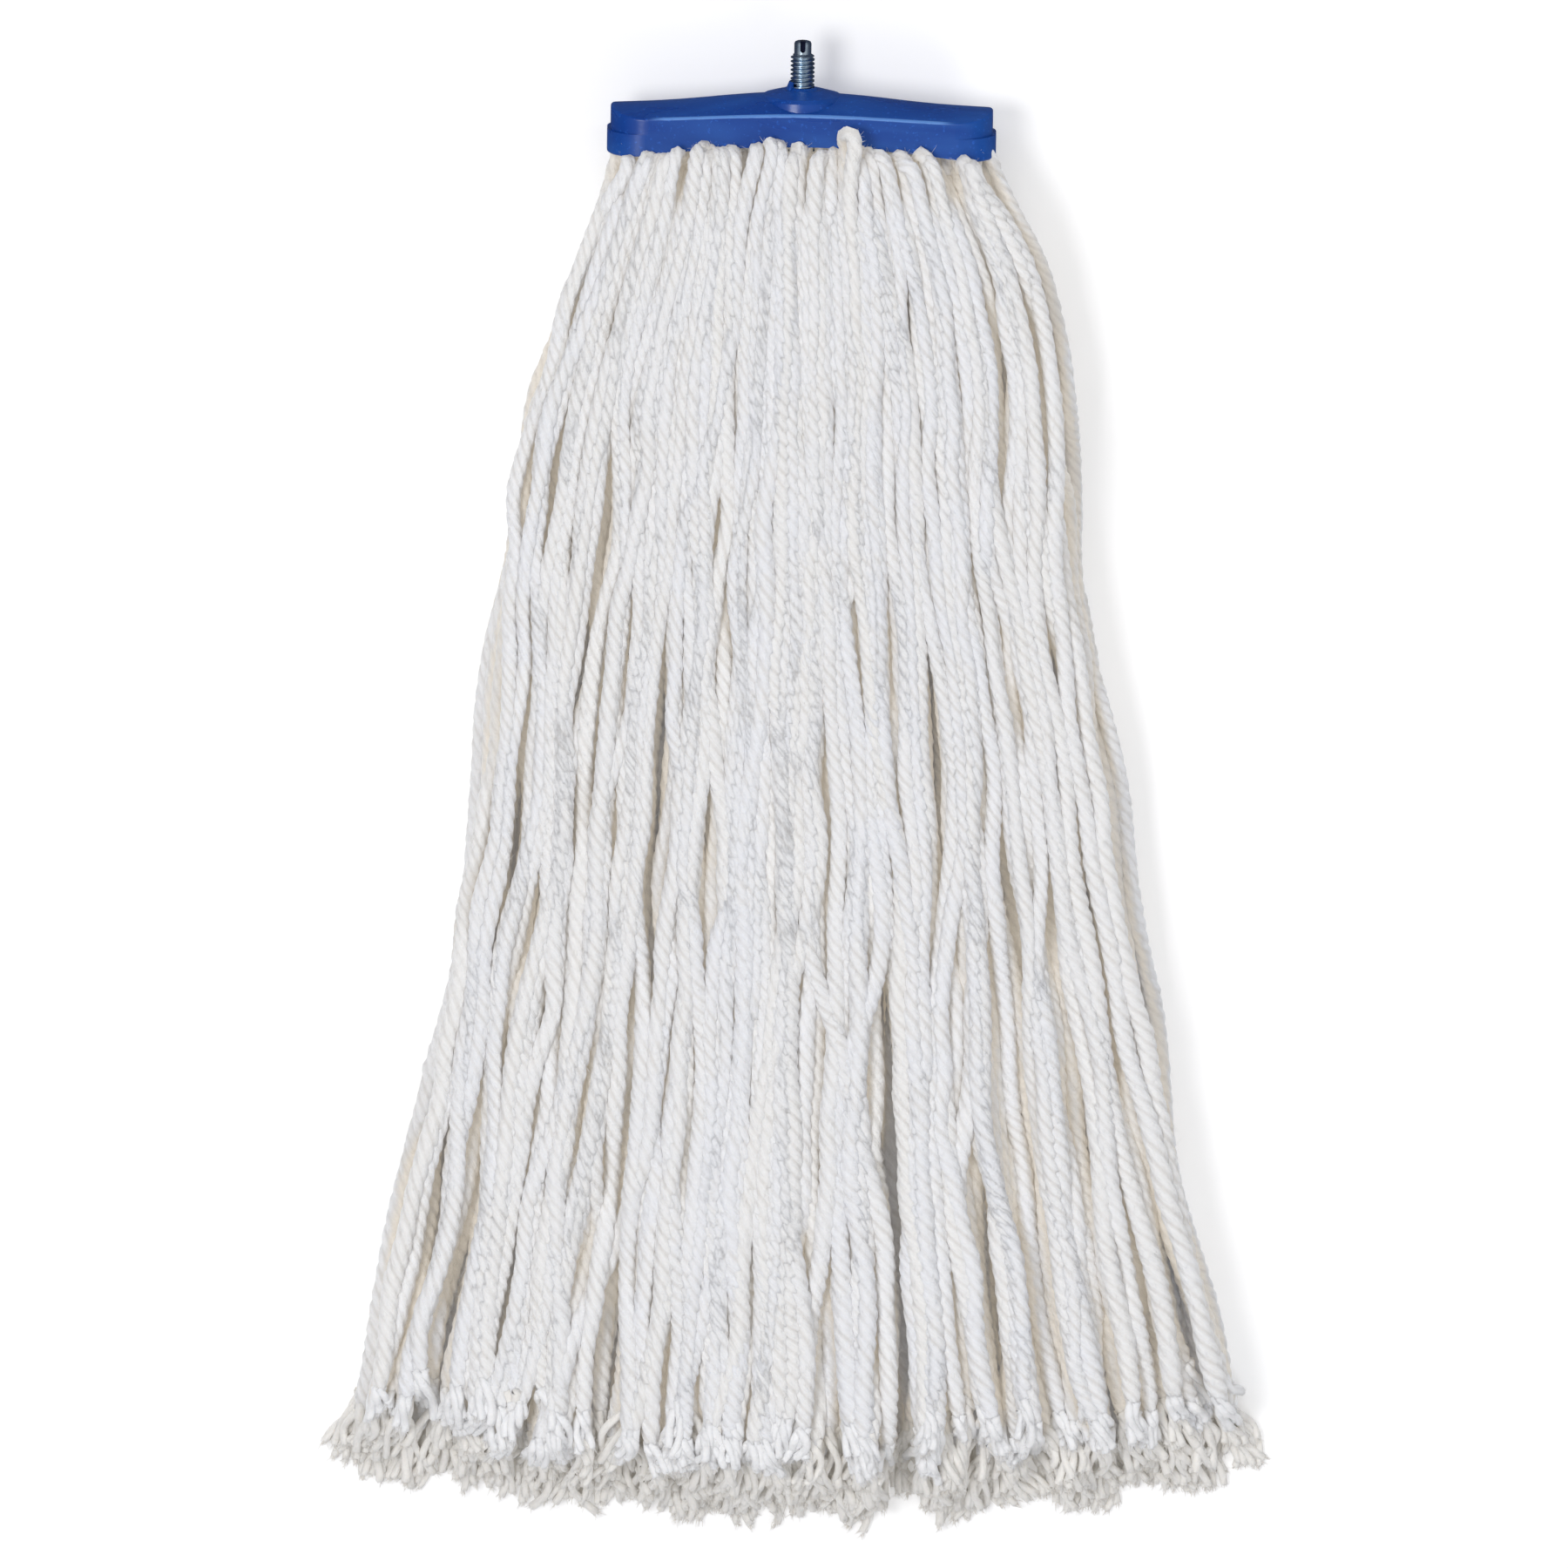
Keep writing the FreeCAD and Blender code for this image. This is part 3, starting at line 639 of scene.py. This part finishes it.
def yarn_material():
    """White four-ply yarn: fibre streaks along the plies; painted shade, warmer deep between yarns;
    a painted glow.
    """
    material, tree, shader = new_material("mop_yarn")
    uv = tree.nodes.new("ShaderNodeUVMap")
    uv.uv_map = "yarn"
    place = tree.nodes.new("ShaderNodeTexCoord").outputs["Object"]
    streaks = node(tree, "ShaderNodeTexNoise", Vector=scaled(tree, uv.outputs[0], (26, 420, 1)))
    streaks.inputs["Scale"].default_value = 1.0
    streaks.inputs["Detail"].default_value = 3.0
    fluff = node(tree, "ShaderNodeTexNoise", Vector=place)
    fluff.inputs["Scale"].default_value = 900.0
    fluff.inputs["Detail"].default_value = 4.0
    patches = node(tree, "ShaderNodeTexNoise", Vector=place)
    patches.inputs["Scale"].default_value = 60.0

    cool, warm = (0.825, 0.832, 0.855, 1), (0.85, 0.84, 0.82, 1)
    white = mix_colour(tree, ramp(tree, attribute(tree, "tint"), 0, 1), cool, warm)
    white = mix_colour(tree, ramp(tree, patches.outputs[0], 0.35, 0.7, 0, 0.5), white, warm)
    ends = ramp(tree, attribute(tree, "tint"), TOP_END - 0.6, TOP_END - 0.4)
    low_ends = ramp(tree, attribute(tree, "tint"), LOW_END - 0.6, LOW_END - 0.4)
    # painted light on the top layer's cut ends, and painted shade, a tan, on the lower layers' ends
    white = mix_colour(tree, ends, white, (0.86, 0.86, 0.865, 1))
    white = mix_colour(tree, low_ends, white, (0.825, 0.805, 0.77, 1))
    # painted shade: darker in the gaps beside and between yarns, by how deep a point lies under the
    # skin of the pile
    beside = ramp(tree, attribute(tree, "depth"), 1.2, 3.4, 0.0, 0.34)
    white = mix_colour(tree, beside, white, (0.62, 0.585, 0.53, 1))
    # painted shade: a warm tan, stronger the deeper a point lies under other yarns
    hidden = ramp(tree, attribute(tree, "depth"), 2.2, 7.5)
    white = mix_colour(tree, ramp(tree, hidden, 0, 1, 0, 0.7), white, (0.74, 0.69, 0.615, 1))
    # painted light: a glow standing in for light passed on from fibre to fibre, which single
    # surfaces don't carry, strongest deep between yarns and a little on the cut ends
    painted_glow = mix_colour(tree, hidden, (0.03, 0.03, 0.032, 1), (0.125, 0.115, 0.098, 1))
    painted_glow = mix_colour(tree, ends, painted_glow, (0.042, 0.042, 0.042, 1))
    painted_glow = mix_colour(tree, low_ends, painted_glow, (0.040, 0.038, 0.034, 1))
    tree.links.new(painted_glow, shader.inputs["Emission Color"])
    shader.inputs["Emission Strength"].default_value = 1.0
    uneven = ramp(tree, patches.outputs[0], 0.4, 0.6, 0.35, 1.0)
    # painted shade in the ply valleys, stronger in some patches than in others
    valleys = all_of(tree, (ply_valley_shade(tree, uv.outputs[0]), uneven))
    white = mix_colour(tree, valleys, white, (0.58, 0.54, 0.49, 1))
    grey = ramp(tree, streaks.outputs[0], 0.3, 0.65, 0.12, 0.0)
    colour = mix_colour(tree, grey, white, (0.52, 0.50, 0.48, 1))
    tree.links.new(colour, shader.inputs["Base Color"])

    rough = ramp(tree, fluff.outputs[0], 0.3, 0.7, 0.78, 0.95)
    tree.links.new(rough, shader.inputs["Roughness"])
    lines = node(tree, "ShaderNodeBump", Height=streaks.outputs[0])
    lines.inputs["Strength"].default_value = 0.55
    lines.inputs["Distance"].default_value = 0.0006
    bump = node(tree, "ShaderNodeBump", Height=fluff.outputs[0], Normal=lines.outputs[0])
    bump.inputs["Strength"].default_value = 0.8
    bump.inputs["Distance"].default_value = 0.0005
    tree.links.new(bump.outputs[0], shader.inputs["Normal"])
    shader.inputs["Specular IOR Level"].default_value = 0.25
    shader.inputs["Sheen Weight"].default_value = 0.35
    shader.inputs["Sheen Roughness"].default_value = 0.5
    shader.inputs["Subsurface Weight"].default_value = 0.45
    shader.inputs["Subsurface Radius"].default_value = (1.0, 0.95, 0.88)
    shader.inputs["Subsurface Scale"].default_value = 0.0012
    return material


def roof_edge_highlight(tree, place):
    """1 on the painted highlight line along the edge between the roof and the long walls, between
    its corners.
    """
    facing = node(tree, "ShaderNodeTexCoord").outputs["Normal"]
    upward = node(tree, "ShaderNodeSeparateXYZ", Vector=facing).outputs[2]
    where = node(tree, "ShaderNodeSeparateXYZ", Vector=place).outputs
    across = node(tree, "ShaderNodeMath")
    across.operation = "ABSOLUTE"
    tree.links.new(where[0], across.inputs[0])
    tests = (
        ramp(tree, upward, 0.94, 0.99, 1.0, 0.0),
        ramp(tree, where[2], 0.0139, 0.0144),
        ramp(tree, where[1], -0.0120, -0.0115),
        ramp(tree, across.outputs[0], 0.044, 0.051, 1.0, 0.0),
    )
    return all_of(tree, tests)


def plastic_material(name, dark, light, rough):
    """Moulded plastic: faint flow marks in its colour, and a fine uneven skin."""
    material, tree, shader = new_material(name)
    place = tree.nodes.new("ShaderNodeTexCoord").outputs["Object"]
    flow = node(tree, "ShaderNodeTexNoise", Vector=scaled(tree, place, (14, 60, 40)))
    flow.inputs["Scale"].default_value = 1.0
    flow.inputs["Detail"].default_value = 3.0
    flow.inputs["Distortion"].default_value = 0.8
    grain = node(tree, "ShaderNodeTexNoise", Vector=place)
    grain.inputs["Scale"].default_value = 900.0
    grain.inputs["Detail"].default_value = 3.0
    colour = mix_colour(tree, ramp(tree, flow.outputs[0], 0.35, 0.7), dark, light)
    speck = ramp(tree, grain.outputs[0], 0.60, 0.72, 0.0, 0.32)
    pale = tuple(min(1.0, c * 2.2 + 0.02) for c in light[:3]) + (1,)
    colour = mix_colour(tree, speck, colour, pale)
    # painted highlight: a paler, brighter blue line along the roof's edge
    painted_highlight = (light[0] + 0.10, light[1] + 0.19, light[2] + 0.30, 1)
    colour = mix_colour(tree, roof_edge_highlight(tree, place), colour, painted_highlight)
    tree.links.new(colour, shader.inputs["Base Color"])
    gloss = ramp(tree, flow.outputs[0], 0.3, 0.7, rough - 0.05, rough + 0.07)
    tree.links.new(gloss, shader.inputs["Roughness"])
    bump = node(tree, "ShaderNodeBump", Height=grain.outputs[0])
    bump.inputs["Strength"].default_value = 0.18
    bump.inputs["Distance"].default_value = 0.0001
    tree.links.new(bump.outputs[0], shader.inputs["Normal"])
    shader.inputs["Specular IOR Level"].default_value = 0.42
    shader.inputs["Subsurface Weight"].default_value = 0.10
    shader.inputs["Subsurface Radius"].default_value = (0.3, 0.5, 1.0)
    shader.inputs["Subsurface Scale"].default_value = 0.001
    return material


def groove_shade_mask(tree, place):
    """1 inside the groove of the stud's tip, which is painted near black as shade."""
    parts = node(tree, "ShaderNodeSeparateXYZ", Vector=place).outputs
    beside = tree.nodes.new("ShaderNodeMath")
    beside.operation = "ABSOLUTE"
    tree.links.new(parts[0], beside.inputs[0])
    inside = ramp(tree, beside.outputs[0], 0.00083, 0.00093, 1.0, 0.0)
    low = ramp(tree, parts[2], 0.0022, 0.0027, 1.0, 0.0)
    high = ramp(tree, parts[1], 0.0121, 0.0123, 0.0, 1.0)
    return all_of(tree, (inside, low, high))


def steel_material(name, colour, tarnish, rough, groove=False):
    """Zinc-plated steel: turning marks round the axis and a faintly cloudy passivation."""
    material, tree, shader = new_material(name)
    place = tree.nodes.new("ShaderNodeTexCoord").outputs["Object"]
    turned = node(tree, "ShaderNodeTexNoise", Vector=scaled(tree, place, (60, 9000, 60)))
    turned.inputs["Scale"].default_value = 1.0
    cloud = node(tree, "ShaderNodeTexNoise", Vector=place)
    cloud.inputs["Scale"].default_value = 450.0
    cloud.inputs["Detail"].default_value = 4.0
    shade = mix_colour(tree, ramp(tree, cloud.outputs[0], 0.35, 0.65), colour, tarnish)
    if groove:
        # painted shade: the inside of the tip's groove near black
        shade = mix_colour(tree, groove_shade_mask(tree, place), shade, (0.01, 0.012, 0.03, 1))
    tree.links.new(shade, shader.inputs["Base Color"])
    gloss = ramp(tree, cloud.outputs[0], 0.3, 0.7, rough, rough + 0.16)
    tree.links.new(gloss, shader.inputs["Roughness"])
    bump = node(tree, "ShaderNodeBump", Height=turned.outputs[0])
    bump.inputs["Strength"].default_value = 0.2
    bump.inputs["Distance"].default_value = 0.00005
    tree.links.new(bump.outputs[0], shader.inputs["Normal"])
    shader.inputs["Metallic"].default_value = 1.0
    return material


def floor_material():
    material, tree, shader = new_material("studio_floor")
    place = tree.nodes.new("ShaderNodeTexCoord").outputs["Object"]
    paper = node(tree, "ShaderNodeTexNoise", Vector=place)
    paper.inputs["Scale"].default_value = 6.0
    tone = mix_colour(tree, paper.outputs[0], (0.90, 0.90, 0.90, 1), (0.92, 0.92, 0.92, 1))
    tree.links.new(tone, shader.inputs["Base Color"])
    shader.inputs["Roughness"].default_value = 0.9
    shader.inputs["Specular IOR Level"].default_value = 0.1
    shader.inputs["Emission Color"].default_value = (1, 1, 1, 1)
    shader.inputs["Emission Strength"].default_value = 0.205
    return material


# ---------------------------------------------------------------- the yarn objects
def spread_max(grid, distance):
    """Highest value within a distance in cells, along both axes."""
    for axis in (0, 1):
        grid = np.max([np.roll(grid, k, axis) for k in range(-distance, distance + 1)], axis=0)
    return grid


def spread_mean(grid, distance):
    for axis in (0, 1):
        grid = np.mean([np.roll(grid, k, axis) for k in range(-distance, distance + 1)], axis=0)
    return grid


class Cover:
    """How deep a point lies under the upper or lower skin of a group of yarns, the nearer one."""

    def __init__(self, lines):
        self.skins = []
        for sign in (1, -1):
            pile = Pile()
            pile.height[:] = -999.0
            flat = lines.reshape(-1, 3) * (1, 1, sign)
            pile.stamp(flat, RADIUS)
            skin = spread_max(pile.height, 2)
            empty = skin < -900
            skin[empty] = -24.0
            self.skins.append((sign, spread_mean(skin, 2), pile))

    def __call__(self, points):
        depths = []
        for sign, skin, pile in self.skins:
            ix = np.clip(np.rint(points[:, 0] - pile.x0).astype(int), 0, skin.shape[0] - 1)
            iy = np.clip(np.rint(points[:, 1] - pile.y0).astype(int), 0, skin.shape[1] - 1)
            depths.append(skin[ix, iy] - sign * points[:, 2])
        return np.clip(np.minimum(*depths), 0, 40)


def build_yarns(yarns):
    """The meshes of every lock: one main yarn, the rest with all the ends and fibres."""
    count = len(yarns)
    control = np.array([y["points"] for y in yarns])
    lines, lengths = evenly(route_points(yarns), RINGS)
    own = np.random.default_rng(99)
    thick = np.array([
        np.interp(-line[:, 1], -points[:, 1], y["radius"])
        for line, points, y in zip(lines, control, yarns)
    ])
    slub = soften_rows(own.normal(0, 1, thick.shape), 6) * 0.14
    radii = thick * (1 + slub)
    taper = 1 - 0.30 * smooth((lengths - lengths[:, -1:] + 6.0) / 6.0)
    lay = LAY * own.normal(1, 0.06, count)
    phase = own.uniform(0, 2 * math.pi, count)[:, None] + soften_rows(
        own.normal(0, 1, thick.shape), 14
    ) * 2.4
    vertices, around, along = yarn_rings(lines, lengths, radii * taper, phase, lay)
    tints = np.clip(own.normal(0.45, 0.25, count), 0, 1)

    upper = np.array([y["layer"] >= 2 for y in yarns])
    covers = {True: Cover(lines[upper]), False: Cover(lines[~upper])}

    body = tube_faces(RINGS, RING, 0)
    caps = np.concatenate((close_end(RINGS, RING, 0, False), close_end(RINGS, RING, 0, True)))
    faces = np.concatenate((body, caps))
    objects = {}
    for i, yarn in enumerate(yarns):
        depth_at = covers[bool(upper[i])]
        parts = objects.setdefault(yarn["lock"], {"main": None, "rest": Meshes()})
        flat = (vertices[i].reshape(-1, 3), faces, around[i].ravel(), along[i].ravel(), tints[i])
        if parts["main"] is None and yarn["row"] == 0:
            parts["main"] = Meshes()
            parts["main"].add(*flat)
            parts["path"] = lines[i]
        else:
            parts["rest"].add(*flat)
        marked = TOP_END if yarn["layer"] == TOP else LOW_END
        add_ends(parts["rest"], yarn, lines[i, -1], tints[i] + marked, own)
        add_fuzz(parts["rest"], lines[i], radii[i], depth_at, tints[i], own)
        if yarn["layer"] == TOP and yarn["row"] == 1:
            add_lip_fuzz(parts["rest"], lines[i], radii[i], tints[i], own)
        parts["cover"] = depth_at
    return objects


def add_lip_fuzz(meshes, line, radii, tint, own):
    """Fibres that stand up round the crest of a yarn where it comes over the rim."""
    crest = int(np.argmax(line[:14, 1]))
    crest = max(crest, 3)
    chosen = own.integers(crest, crest + 6, 40)
    angle = own.uniform(0, math.pi, len(chosen))
    out = np.stack((np.cos(angle), np.zeros_like(angle), np.sin(angle)), axis=1)
    roots = line[chosen] + out * (radii[chosen] * 0.85)[:, None]
    ways = unit(out + own.normal((0, 0.9, 0), 0.4, (len(chosen), 3)))
    hair, quads = hairs(roots, ways, own.uniform(1.0, 3.2, len(roots)), 0.06, own)
    meshes.add(hair, quads, 0.5, 0.0, tint)


def soften_rows(values, width):
    return np.stack([soften(row, width) for row in values])


PLY_RING = 7


def add_ends(meshes, yarn, end, tint, own):
    """Four plies that come apart past the end of the yarn's body, with brushed tips."""
    shift = end - yarn["points"][-1]
    share = np.linspace(0, 1, 8)
    lines = np.array([line + shift * (1 - share)[:, None] for line in yarn["plies"]])
    rings = 11
    lines, _ = evenly(lines, rings)
    share = np.linspace(0, 1, rings)
    start = lines[:, 0:1] - lines[:, 1:2]
    lines = np.concatenate((lines[:, 0:1] + start * 1.2, lines), axis=1)
    share = np.concatenate(([0], share))
    thinner = 0.10 + 0.06 * (yarn["layer"] < TOP)
    radii = PLY_RADIUS + 0.08 * np.sin(share * 9) - thinner * smooth(share * 2)
    radii = np.broadcast_to(radii, lines.shape[:2]) * own.normal(1, 0.07, (4, 1))
    vertices = round_tubes(lines, radii, PLY_RING)
    rings += 1
    faces = np.concatenate((
        tube_faces(rings, PLY_RING, 0),
        close_end(rings, PLY_RING, 0, False),
        close_end(rings, PLY_RING, 0, True),
    ))
    around = np.tile(0.07 + 0.11 * np.arange(PLY_RING) / PLY_RING, rings)
    along = np.repeat(np.linspace(0, 15, rings), PLY_RING)
    for ply in range(4):
        meshes.add(vertices[ply].reshape(-1, 3), faces, around, along, tint)
        tip, way = lines[ply, -1], unit(lines[ply, -1] - lines[ply, -3])
        fibres = 16
        roots = np.repeat((tip - 0.6 * way)[None], fibres, axis=0)
        roots = roots + own.normal(0, 0.55, (fibres, 3))
        ways = unit(way + own.normal(0, 0.30, (fibres, 3)))
        hair, quads = hairs(roots, ways, own.uniform(0.9, 2.9, fibres), 0.16, own)
        hair[:, 2] = np.maximum(hair[:, 2], FLOOR + 0.1)
        meshes.add(hair, quads, 0.5, 0.0, tint)


def add_fuzz(meshes, line, radii, depth_at, tint, own):
    """Stray fibres on the part of a yarn that shows."""
    chosen = np.concatenate((own.integers(4, 16, 14), own.integers(12, len(line) - 4, 140)))
    spots = line[chosen]
    angle = own.uniform(0, math.pi, len(spots))
    out = np.stack((np.cos(angle), np.zeros_like(angle), np.sin(angle)), axis=1)
    roots = spots + out * (radii[chosen] * 0.9)[:, None]
    shows = depth_at(roots) < 2.2
    if not shows.any():
        return
    roots, out = roots[shows], out[shows]
    ways = unit(out * 0.8 + np.array((0, -1.0, 0)) * own.choice((-1, 1), (len(out), 1)) * 1.1)
    hair, quads = hairs(roots, ways, own.uniform(1.2, 4.5, len(roots)), 0.06, own)
    meshes.add(hair, quads, 0.5, 0.0, tint)


YARN = yarn_material()


def show_yarns():
    yarns = lay_yarns()
    objects = build_yarns(yarns)
    for lock, parts in objects.items():
        rest = parts["rest"].make(f"{lock}_yarns", parts["cover"])
        main = parts["main"].make(f"{lock}_cord", parts["cover"])
        lifted = lock.startswith(("upper", "top"))
        for piece in (rest, main):
            piece.data.materials.append(YARN)
            if lifted:
                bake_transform(piece)
            else:
                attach(piece, "headband")
        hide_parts(lock)


show_yarns()


# ---------------------------------------------------------------- the folds over the clamp bar
def show_fold():
    """The yarns folded over the clamp bar, inside the channel."""
    low, high = (np.array(corner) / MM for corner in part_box("yarn_fold"))
    meshes = Meshes()
    turns = np.linspace(0, math.pi, 9)
    own = np.random.default_rng(5)
    posts, clear, pitch, half_depth, rings = 38.0, 7.0, 4.2, 8.6, 34
    for x in np.arange(low[0] + 3.0, high[0] - 2.0, pitch):
        if min(abs(x), abs(abs(x) - posts)) < clear:
            continue
        crest = high[1] - 3.0 - 6.0 * (1 - np.sin(turns))
        over = np.stack((np.full(len(turns), x), crest, half_depth * np.cos(turns)), axis=1)
        down = np.array([(x, y, half_depth) for y in (-26.0, -23.0)])
        line = np.concatenate((down, over, down[::-1] * (1, 1, -1)))[None]
        lines, lengths = evenly(line, rings)
        radii = np.full(lines.shape[:2], 2.2)
        vertices, around, along = yarn_rings(
            lines, lengths, radii, own.uniform(0, 6, (1, 1)), np.array([LAY])
        )
        faces = np.concatenate((
            tube_faces(rings, RING, 0),
            close_end(rings, RING, 0, False),
            close_end(rings, RING, 0, True),
        ))
        meshes.add(vertices.reshape(-1, 3), faces, around.ravel(), along.ravel(), 0.5)
    # the folds are all given a depth of 3 mm under the pile, so the yarn material paints them with
    # its shade
    fold = meshes.make("yarn_folds", lambda points: np.full(len(points), 3.0))
    fold.data.materials.append(YARN)
    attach(fold, "headband")
    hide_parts("yarn_fold")


show_fold()

# ---------------------------------------------------------------- finishes of the hard parts
BLUE = plastic_material("blue_plastic", (0.002, 0.046, 0.275, 1), (0.005, 0.076, 0.355, 1), 0.30)
DARK = plastic_material("dark_plastic", (0.006, 0.03, 0.07, 1), (0.012, 0.05, 0.11, 1), 0.45)
ZINC = steel_material("zinc_steel", (0.50, 0.60, 0.69, 1), (0.30, 0.40, 0.50, 1), 0.19, True)
PLAIN = steel_material("fastener_steel", (0.62, 0.63, 0.64, 1), (0.45, 0.45, 0.46, 1), 0.28)
FINISHES = {
    "headband_channel": BLUE,
    "clamp_bar": DARK,
    "handle_stud": ZINC,
    "clamp_washer": PLAIN,
    "clamp_nut": PLAIN,
    "clamp_screws": PLAIN,
}
for part, material in FINISHES.items():
    for slot in bpy.data.objects[part].material_slots:
        slot.material = material


# ---------------------------------------------------------------- studio
def make_floor():
    mesh = bpy.data.meshes.new("floor")
    half = 4.0
    level = FLOOR * MM
    plan = ((-half, -half), (half, -half), (half, half), (-half, half))
    corners = [(x, y, level) for x, y in plan]
    mesh.from_pydata(corners, [], [(0, 1, 2, 3)])
    mesh.materials.append(floor_material())
    floor = bpy.data.objects.new("floor", mesh)
    bpy.context.scene.collection.objects.link(floor)
    floor.visible_glossy = False


def area_light(name, place, aim, size, power, colour=(1, 1, 1), depth=None):
    """A round lamp, or a rectangular one when it has a depth, aimed at a point."""
    data = bpy.data.lights.new(name, "AREA")
    data.shape = "DISK" if depth is None else "RECTANGLE"
    data.size = size
    data.size_y = depth or size
    data.energy = power
    data.color = colour
    lamp = bpy.data.objects.new(name, data)
    bpy.context.scene.collection.objects.link(lamp)
    lamp.location = place
    lamp.rotation_euler = (Vector(aim) - Vector(place)).to_track_quat("-Z", "Y").to_euler()


def make_studio():
    make_floor()
    middle = (0, -0.22, 0)
    area_light("key", (-1.8, 0.3, 4.4), middle, 1.7, 84, (0.99, 0.99, 1.0))
    area_light("strip", (0, 2.4, 3.4), (0, 0, 0), 3.8, 36, depth=0.40)
    area_light("fill", (1.4, -1.9, 2.2), middle, 1.6, 16, (0.98, 0.99, 1.0))
    world = bpy.data.worlds.new("studio")
    world.use_nodes = True
    tree = world.node_tree
    direction = tree.nodes.new("ShaderNodeTexCoord").outputs["Generated"]
    up = node(tree, "ShaderNodeSeparateXYZ", Vector=direction).outputs[2]
    sky = mix_colour(tree, ramp(tree, up, 0.0, 0.75), (0.07, 0.08, 0.11, 1), (0.50, 0.50, 0.51, 1))
    tree.links.new(sky, tree.nodes["Background"].inputs["Color"])
    bpy.context.scene.world = world
    bpy.context.scene.view_settings.view_transform = "Standard"


make_studio()
